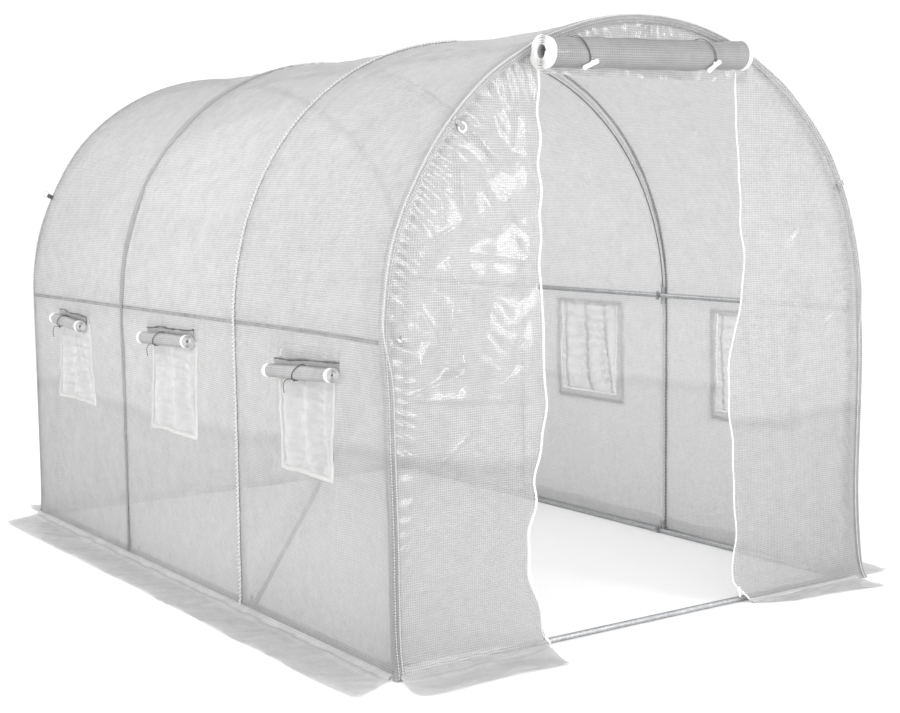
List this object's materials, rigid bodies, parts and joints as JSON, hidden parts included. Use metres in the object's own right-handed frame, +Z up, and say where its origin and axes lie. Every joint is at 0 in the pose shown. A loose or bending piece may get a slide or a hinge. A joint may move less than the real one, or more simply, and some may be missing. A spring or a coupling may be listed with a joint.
{
  "type": "polytunnel greenhouse",
  "caption": "Walk-in polytunnel greenhouse: round-topped tube hoops under a reinforced film cover with a roll-up front door, netted side windows and a loose ground skirt.",
  "frame": {"origin": "on the ground, in the middle of the footprint, skirt included", "axes": "+Z up; the front gable with the door faces -Y; +X is to the right of someone who faces the door"},
  "size_m": [2.4, 3.4, 1.9898],
  "materials": {
    "galvanised_tube": "galvanised, satin",
    "clamp_steel": "zinc plated",
    "cover_film": "translucent reinforced polyethylene film with a square thread grid",
    "skirt_film": "translucent reinforced polyethylene film, crumpled",
    "flap_film": "translucent reinforced polyethylene film",
    "rolled_film": "many layers of translucent reinforced film",
    "insect_net": "fine white mesh",
    "zip_tape": "white woven zip tape",
    "strap_web": "white webbing",
    "tie_cord": "dark flat cord",
    "ring_plastic": "moulded plastic"
  },
  "bodies": {
    "root": {"hoop_front_arch": "galvanised_tube", "hoop_front_legs": "galvanised_tube", "hoop_second_arch": "galvanised_tube", "hoop_second_legs": "galvanised_tube", "hoop_third_arch": "galvanised_tube", "hoop_third_legs": "galvanised_tube", "hoop_rear_arch": "galvanised_tube", "hoop_rear_legs": "galvanised_tube", "ground_rail_left": "galvanised_tube", "ground_rail_right": "galvanised_tube", "ground_bar_front": "galvanised_tube", "ground_bar_rear": "galvanised_tube", "purlin_left": "galvanised_tube", "purlin_right": "galvanised_tube", "ridge_tube": "galvanised_tube", "brace_left": "galvanised_tube", "corner_gussets": "clamp_steel", "rail_clamps": "clamp_steel", "purlin_clamps": "clamp_steel", "ridge_clamps": "clamp_steel", "cover_roof": "cover_film", "cover_wall_left": "cover_film", "cover_wall_right": "cover_film", "gable_front_left": "cover_film", "gable_front_right": "cover_film", "gable_front_top": "cover_film", "gable_rear": "cover_film", "skirt_left": "skirt_film", "skirt_right": "skirt_film", "skirt_front_left": "skirt_film", "skirt_front_right": "skirt_film", "skirt_rear": "skirt_film", "window_nets_left": "insect_net", "window_nets_right": "insect_net", "window_flaps_left": "rolled_film", "window_flaps_right": "flap_film", "window_ties_left": "tie_cord", "door_roll": "rolled_film", "door_straps": "strap_web", "door_zip_left": "zip_tape", "door_zip_right": "zip_tape", "guy_rings": "ring_plastic"}
  },
  "joints": []
}
